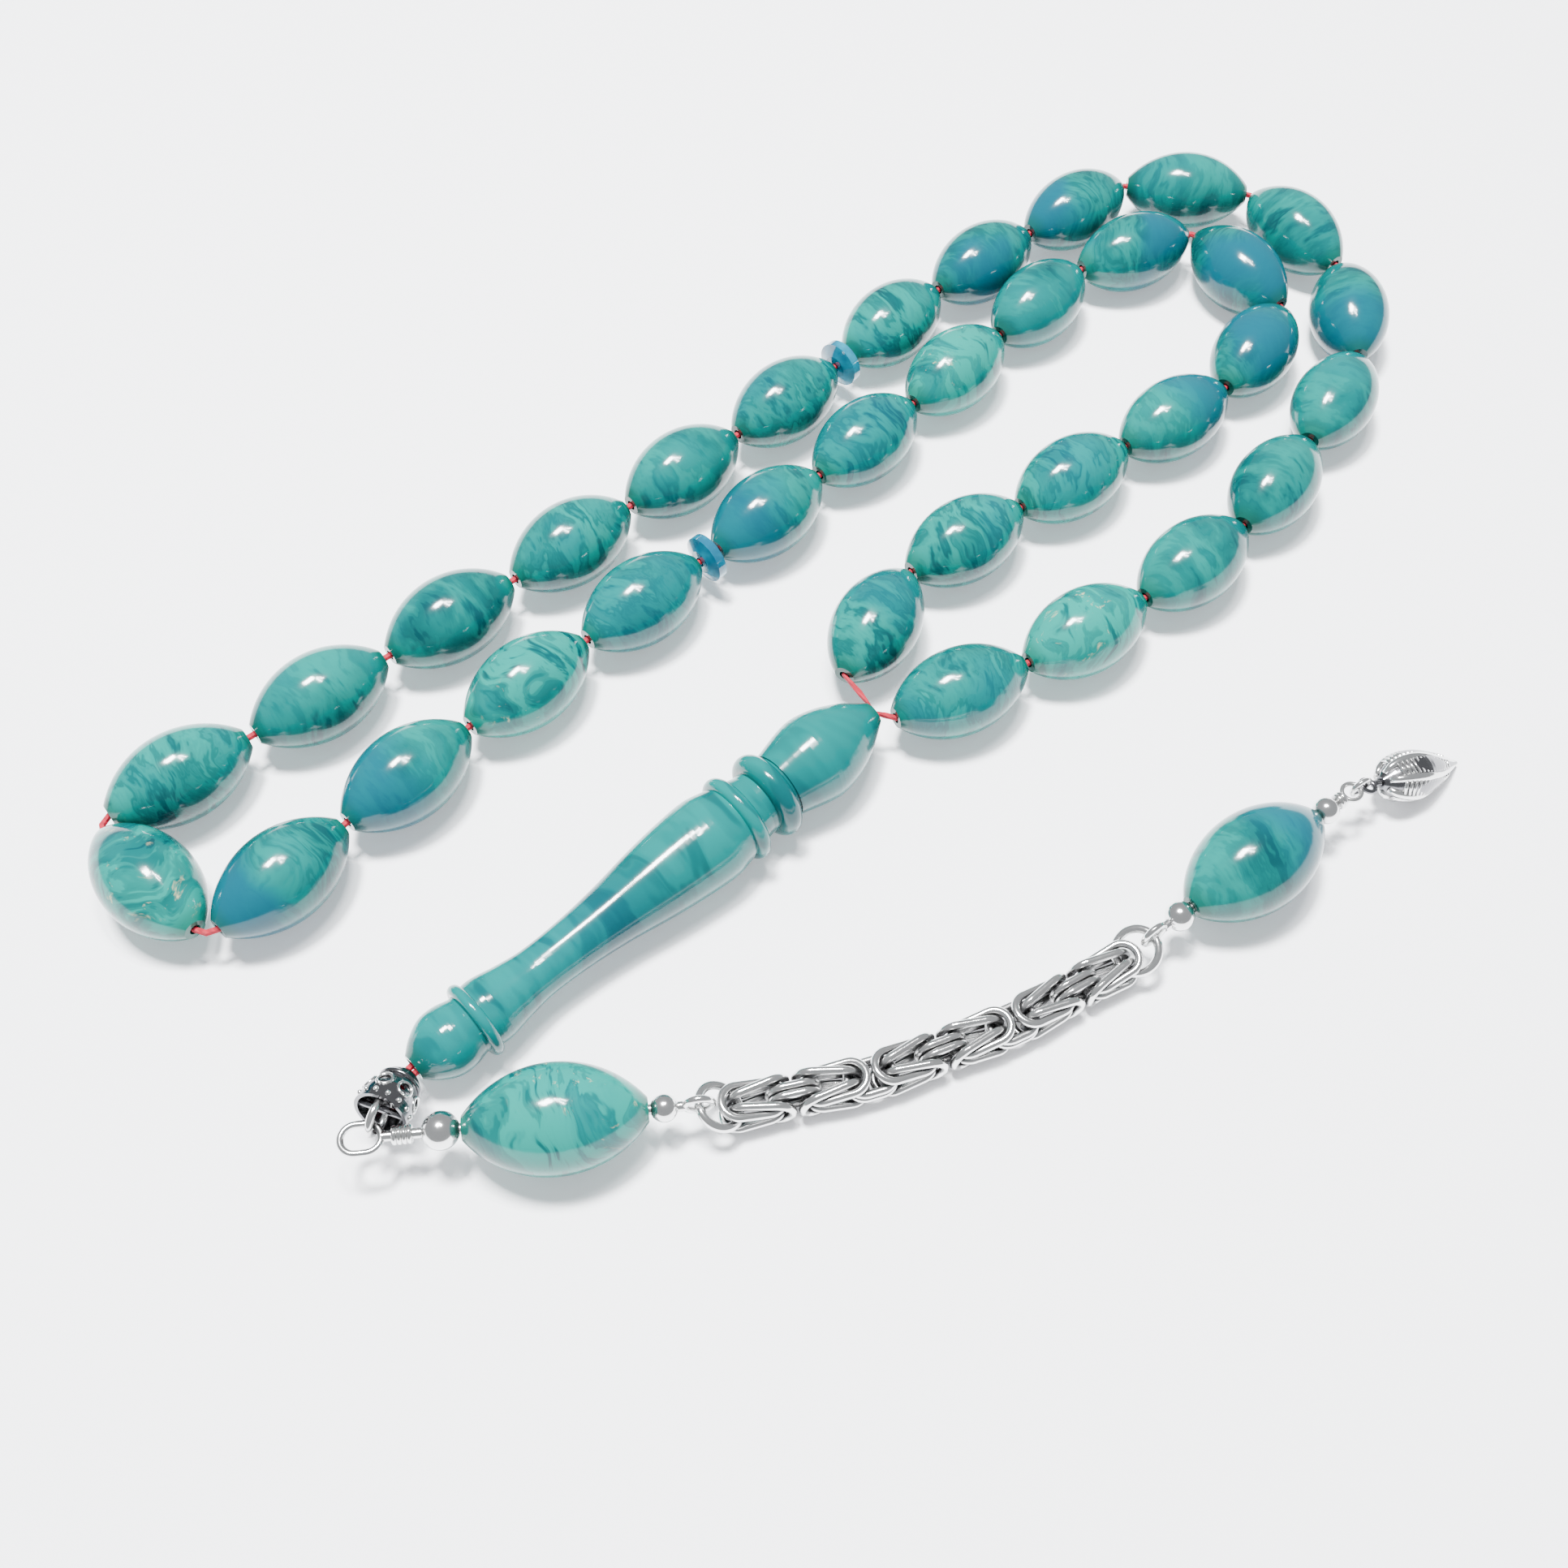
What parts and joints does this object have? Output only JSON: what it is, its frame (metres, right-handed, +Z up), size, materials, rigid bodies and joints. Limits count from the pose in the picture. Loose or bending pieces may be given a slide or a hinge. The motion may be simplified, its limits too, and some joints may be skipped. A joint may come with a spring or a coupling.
{
  "type": "misbaha prayer beads",
  "caption": "Loop of turquoise lemon-shaped prayer beads with two thin stops, a long turned leader bead and a silver chain tassel.",
  "frame": {"origin": "on the table under the centre of the bounding box", "axes": "+X along the longer side of the laid-out loop, towards the finial; +Y across it, away from the tassel; +Z up from the table"},
  "size_m": [0.1254, 0.1219, 0.009],
  "materials": {
    "resin": "polished swirled turquoise resin",
    "stop_resin": "clear cyan resin",
    "thread": "twisted red thread",
    "silver": "polished silver with dark oxidised recesses"
  },
  "bodies": {
    "string": {"imame": "resin", "cord": "thread", "knot": "thread"},
    "cap": {"cap": "silver"},
    "cap_ring": {"cap_ring": "silver"},
    "pin_1": {"pin_1": "silver", "ball_1": "silver", "ball_2": "silver"},
    "jump_ring_1": {"jump_ring_1": "silver"},
    "chain_1": {"chain_1": "silver"},
    "chain_pair_1": {"chain_pair_1": "silver"},
    "chain_2": {"chain_2": "silver"},
    "chain_pair_2": {"chain_pair_2": "silver"},
    "chain_3": {"chain_3": "silver"},
    "jump_ring_2": {"jump_ring_2": "silver"},
    "pin_2": {"pin_2": "silver", "ball_3": "silver", "ball_4": "silver"},
    "jump_ring_3": {"jump_ring_3": "silver"},
    "finial": {"finial": "silver"},
    "tassel_bead_1": {"tassel_bead_1": "resin"},
    "tassel_bead_2": {"tassel_bead_2": "resin"},
    "stop_1": {"stop_1": "stop_resin"},
    "stop_2": {"stop_2": "stop_resin"},
    "bead_01": {"bead_01": "resin"},
    "bead_02": {"bead_02": "resin"},
    "bead_03": {"bead_03": "resin"},
    "bead_04": {"bead_04": "resin"},
    "bead_05": {"bead_05": "resin"},
    "bead_06": {"bead_06": "resin"},
    "bead_07": {"bead_07": "resin"},
    "bead_08": {"bead_08": "resin"},
    "bead_09": {"bead_09": "resin"},
    "bead_10": {"bead_10": "resin"},
    "bead_11": {"bead_11": "resin"},
    "bead_12": {"bead_12": "resin"},
    "bead_13": {"bead_13": "resin"},
    "bead_14": {"bead_14": "resin"},
    "bead_15": {"bead_15": "resin"},
    "bead_16": {"bead_16": "resin"},
    "bead_17": {"bead_17": "resin"},
    "bead_18": {"bead_18": "resin"},
    "bead_19": {"bead_19": "resin"},
    "bead_20": {"bead_20": "resin"},
    "bead_21": {"bead_21": "resin"},
    "bead_22": {"bead_22": "resin"},
    "bead_23": {"bead_23": "resin"},
    "bead_24": {"bead_24": "resin"},
    "bead_25": {"bead_25": "resin"},
    "bead_26": {"bead_26": "resin"},
    "bead_27": {"bead_27": "resin"},
    "bead_28": {"bead_28": "resin"},
    "bead_29": {"bead_29": "resin"},
    "bead_30": {"bead_30": "resin"},
    "bead_31": {"bead_31": "resin"},
    "bead_32": {"bead_32": "resin"},
    "bead_33": {"bead_33": "resin"}
  },
  "joints": [
    {"name": "cap_swing", "type": "hinge", "parent": "string", "child": "cap", "pos_m": [-0.03247, -0.05257, 0.00358], "axis": [0, 0, 1], "range_deg": [-6, 6]},
    {"name": "cap_ring_swing", "type": "hinge", "parent": "cap", "child": "cap_ring", "pos_m": [-0.0336, -0.05568, 0.00457], "axis": [0, 0, -1], "range_deg": [-6, 6]},
    {"name": "pin_1_swing", "type": "hinge", "parent": "cap_ring", "child": "pin_1", "pos_m": [-0.03412, -0.05712, 0.00503], "axis": [0, 0, 1], "range_deg": [-6, 6]},
    {"name": "jump_ring_1_swing", "type": "hinge", "parent": "pin_1", "child": "jump_ring_1", "pos_m": [-0.00874, -0.05508, 0.00381], "axis": [0, 0, -1], "range_deg": [-8, 8]},
    {"name": "chain_1_swing", "type": "hinge", "parent": "jump_ring_1", "child": "chain_1", "pos_m": [-0.0056, -0.05436, 0.0018], "axis": [0, 0, 1], "range_deg": [-6, 6]},
    {"name": "chain_pair_1_swing", "type": "hinge", "parent": "chain_1", "child": "chain_pair_1", "pos_m": [0.00195, -0.05261, 0.0018], "axis": [0, 0, -1], "range_deg": [-2, 2]},
    {"name": "chain_2_swing", "type": "hinge", "parent": "chain_pair_1", "child": "chain_2", "pos_m": [0.00803, -0.05069, 0.0018], "axis": [0, 0, 1], "range_deg": [-2, 2]},
    {"name": "chain_pair_2_swing", "type": "hinge", "parent": "chain_2", "child": "chain_pair_2", "pos_m": [0.01396, -0.0483, 0.0018], "axis": [0, 0, -1], "range_deg": [-2, 2]},
    {"name": "chain_3_swing", "type": "hinge", "parent": "chain_pair_2", "child": "chain_3", "pos_m": [0.0197, -0.0455, 0.0018], "axis": [0, 0, 1], "range_deg": [-2, 2]},
    {"name": "jump_ring_2_swing", "type": "hinge", "parent": "chain_3", "child": "jump_ring_2", "pos_m": [0.02641, -0.04163, 0.0018], "axis": [0, 0, -1], "range_deg": [-6, 6]},
    {"name": "pin_2_swing", "type": "hinge", "parent": "jump_ring_2", "child": "pin_2", "pos_m": [0.02912, -0.03987, 0.0038], "axis": [0, 0, 1], "range_deg": [-8, 8]},
    {"name": "jump_ring_3_swing", "type": "hinge", "parent": "pin_2", "child": "jump_ring_3", "pos_m": [0.0487, -0.02564, 0.00494], "axis": [0, 0, -1], "range_deg": [-8, 8]},
    {"name": "finial_swing", "type": "hinge", "parent": "jump_ring_3", "child": "finial", "pos_m": [0.04929, -0.0253, 0.00438], "axis": [0, 0, 1], "range_deg": [-8, 8]},
    {"name": "tassel_bead_1_spin", "type": "hinge", "parent": "pin_1", "child": "tassel_bead_1", "pos_m": [-0.01995, -0.05646, 0.0045], "axis": [0.9919, 0.1218, -0.0349], "continuous": true},
    {"name": "tassel_bead_2_spin", "type": "hinge", "parent": "pin_2", "child": "tassel_bead_2", "pos_m": [0.0385, -0.03305, 0.0045], "axis": [0.8085, 0.5874, 0.0349], "continuous": true},
    {"name": "stop_1_spin", "type": "hinge", "parent": "string", "child": "stop_1", "pos_m": [-0.0095, 0.0015, 0.00415], "axis": [-0.7329, -0.6804, 0], "continuous": true},
    {"name": "stop_2_spin", "type": "hinge", "parent": "string", "child": "stop_2", "pos_m": [0.004, 0.0285, 0.00415], "axis": [0.6874, 0.7263, 0], "continuous": true},
    {"name": "bead_01_spin", "type": "hinge", "parent": "string", "child": "bead_01", "pos_m": [0.00671, -0.00682, 0.00415], "axis": [0.4614, 0.8872, 0], "continuous": true},
    {"name": "bead_02_spin", "type": "hinge", "parent": "string", "child": "bead_02", "pos_m": [0.01572, 0.00371, 0.00415], "axis": [0.8057, 0.5924, 0], "continuous": true},
    {"name": "bead_03_spin", "type": "hinge", "parent": "string", "child": "bead_03", "pos_m": [0.027, 0.012, 0.00415], "axis": [0.8057, 0.5924, 0], "continuous": true},
    {"name": "bead_04_spin", "type": "hinge", "parent": "string", "child": "bead_04", "pos_m": [0.03828, 0.02029, 0.00415], "axis": [0.8057, 0.5924, 0], "continuous": true},
    {"name": "bead_05_spin", "type": "hinge", "parent": "string", "child": "bead_05", "pos_m": [0.04812, 0.03032, 0.00415], "axis": [0.578, 0.816, 0], "continuous": true},
    {"name": "bead_06_spin", "type": "hinge", "parent": "string", "child": "bead_06", "pos_m": [0.04828, 0.04296, 0.00415], "axis": [-0.5473, 0.837, 0], "continuous": true},
    {"name": "bead_07_spin", "type": "hinge", "parent": "string", "child": "bead_07", "pos_m": [0.03703, 0.04614, 0.00415], "axis": [-0.901, -0.4338, 0], "continuous": true},
    {"name": "bead_08_spin", "type": "hinge", "parent": "string", "child": "bead_08", "pos_m": [0.0257, 0.0377, 0.00415], "axis": [-0.6748, -0.738, 0], "continuous": true},
    {"name": "bead_09_spin", "type": "hinge", "parent": "string", "child": "bead_09", "pos_m": [0.01608, 0.02737, 0.00415], "axis": [-0.6874, -0.7263, 0], "continuous": true},
    {"name": "bead_10_spin", "type": "hinge", "parent": "string", "child": "bead_10", "pos_m": [0.00629, 0.0172, 0.00415], "axis": [-0.6997, -0.7145, 0], "continuous": true},
    {"name": "bead_11_spin", "type": "hinge", "parent": "string", "child": "bead_11", "pos_m": [-0.00367, 0.0072, 0.00415], "axis": [-0.7118, -0.7024, 0], "continuous": true},
    {"name": "bead_12_spin", "type": "hinge", "parent": "string", "child": "bead_12", "pos_m": [-0.01553, -0.00398, 0.00415], "axis": [-0.7337, -0.6794, 0], "continuous": true},
    {"name": "bead_13_spin", "type": "hinge", "parent": "string", "child": "bead_13", "pos_m": [-0.02575, -0.01376, 0.00415], "axis": [-0.7105, -0.7037, 0], "continuous": true},
    {"name": "bead_14_spin", "type": "hinge", "parent": "string", "child": "bead_14", "pos_m": [-0.03563, -0.02389, 0.00415], "axis": [-0.6864, -0.7272, 0], "continuous": true},
    {"name": "bead_15_spin", "type": "hinge", "parent": "string", "child": "bead_15", "pos_m": [-0.04517, -0.03434, 0.00415], "axis": [-0.6616, -0.7499, 0], "continuous": true},
    {"name": "bead_16_spin", "type": "hinge", "parent": "string", "child": "bead_16", "pos_m": [-0.05646, -0.03479, 0.00415], "axis": [-0.722, 0.6919, 0], "continuous": true},
    {"name": "bead_17_spin", "type": "hinge", "parent": "string", "child": "bead_17", "pos_m": [-0.05593, -0.02401, 0.00415], "axis": [0.7923, 0.6101, 0], "continuous": true},
    {"name": "bead_18_spin", "type": "hinge", "parent": "string", "child": "bead_18", "pos_m": [-0.0447, -0.01516, 0.00415], "axis": [0.7783, 0.6279, 0], "continuous": true},
    {"name": "bead_19_spin", "type": "hinge", "parent": "string", "child": "bead_19", "pos_m": [-0.03368, -0.00606, 0.00415], "axis": [0.7638, 0.6454, 0], "continuous": true},
    {"name": "bead_20_spin", "type": "hinge", "parent": "string", "child": "bead_20", "pos_m": [-0.02286, 0.0033, 0.00415], "axis": [0.749, 0.6626, 0], "continuous": true},
    {"name": "bead_21_spin", "type": "hinge", "parent": "string", "child": "bead_21", "pos_m": [-0.01227, 0.01289, 0.00415], "axis": [0.7337, 0.6794, 0], "continuous": true},
    {"name": "bead_22_spin", "type": "hinge", "parent": "string", "child": "bead_22", "pos_m": [-0.00189, 0.02272, 0.00415], "axis": [0.7181, 0.6959, 0], "continuous": true},
    {"name": "bead_23_spin", "type": "hinge", "parent": "string", "child": "bead_23", "pos_m": [0.00963, 0.03453, 0.00415], "axis": [0.6986, 0.7155, 0], "continuous": true},
    {"name": "bead_24_spin", "type": "hinge", "parent": "string", "child": "bead_24", "pos_m": [0.01999, 0.04434, 0.00415], "axis": [0.753, 0.658, 0], "continuous": true},
    {"name": "bead_25_spin", "type": "hinge", "parent": "string", "child": "bead_25", "pos_m": [0.0311, 0.05329, 0.00415], "axis": [0.8027, 0.5964, 0], "continuous": true},
    {"name": "bead_26_spin", "type": "hinge", "parent": "string", "child": "bead_26", "pos_m": [0.04423, 0.05675, 0.00415], "axis": [0.9947, -0.1029, 0], "continuous": true},
    {"name": "bead_27_spin", "type": "hinge", "parent": "string", "child": "bead_27", "pos_m": [0.05553, 0.04971, 0.00415], "axis": [0.5391, -0.8423, 0], "continuous": true},
    {"name": "bead_28_spin", "type": "hinge", "parent": "string", "child": "bead_28", "pos_m": [0.05925, 0.03623, 0.00415], "axis": [-0.0345, -0.9994, 0], "continuous": true},
    {"name": "bead_29_spin", "type": "hinge", "parent": "string", "child": "bead_29", "pos_m": [0.05533, 0.02286, 0.00415], "axis": [-0.5301, -0.848, 0], "continuous": true},
    {"name": "bead_30_spin", "type": "hinge", "parent": "string", "child": "bead_30", "pos_m": [0.0473, 0.01108, 0.00415], "axis": [-0.5951, -0.8036, 0], "continuous": true},
    {"name": "bead_31_spin", "type": "hinge", "parent": "string", "child": "bead_31", "pos_m": [0.03773, 0.00082, 0.00415], "axis": [-0.7665, -0.6423, 0], "continuous": true},
    {"name": "bead_32_spin", "type": "hinge", "parent": "string", "child": "bead_32", "pos_m": [0.02642, -0.00759, 0.00415], "axis": [-0.8362, -0.5485, 0], "continuous": true},
    {"name": "bead_33_spin", "type": "hinge", "parent": "string", "child": "bead_33", "pos_m": [0.01421, -0.01461, 0.00415], "axis": [-0.8944, -0.4472, 0], "continuous": true}
  ]
}
